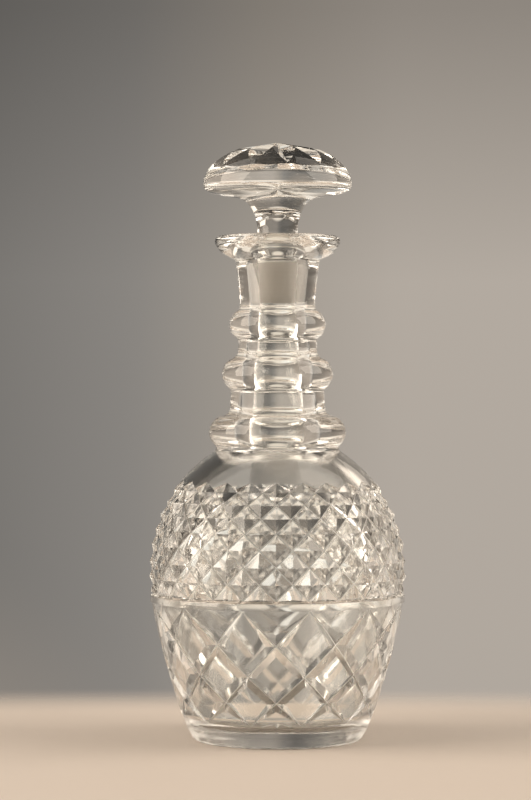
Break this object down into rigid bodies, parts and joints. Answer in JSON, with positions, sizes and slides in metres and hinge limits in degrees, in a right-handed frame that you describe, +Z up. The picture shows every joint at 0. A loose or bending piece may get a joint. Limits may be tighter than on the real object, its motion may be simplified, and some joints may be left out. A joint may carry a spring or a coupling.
{
  "type": "cut-glass carafe",
  "caption": "Clear cut-glass carafe with a lozenge and diamond cut body, a collared neck, a flared lip and a domed stopper whose ground peg lifts out of the neck.",
  "frame": {"origin": "middle of the base, on the surface that the carafe stands on", "axes": "+Z up along the axis of the bottle and the stopper; -Y is the side that faces the viewer in the picture"},
  "size_m": [0.1128, 0.1128, 0.2619],
  "materials": {
    "bottle_crystal": "polished clear crystal, wheel cut, with a ground seat in the neck",
    "stopper_crystal": "polished clear crystal with a star cut and a ground peg"
  },
  "bodies": {
    "bottle": {"bottle": "bottle_crystal"},
    "stopper": {"stopper": "stopper_crystal"}
  },
  "joints": [
    {"name": "stopper_lift", "type": "slide", "parent": "bottle", "child": "stopper", "axis": [0, 0, 1], "range_m": [0, 0.08]}
  ]
}
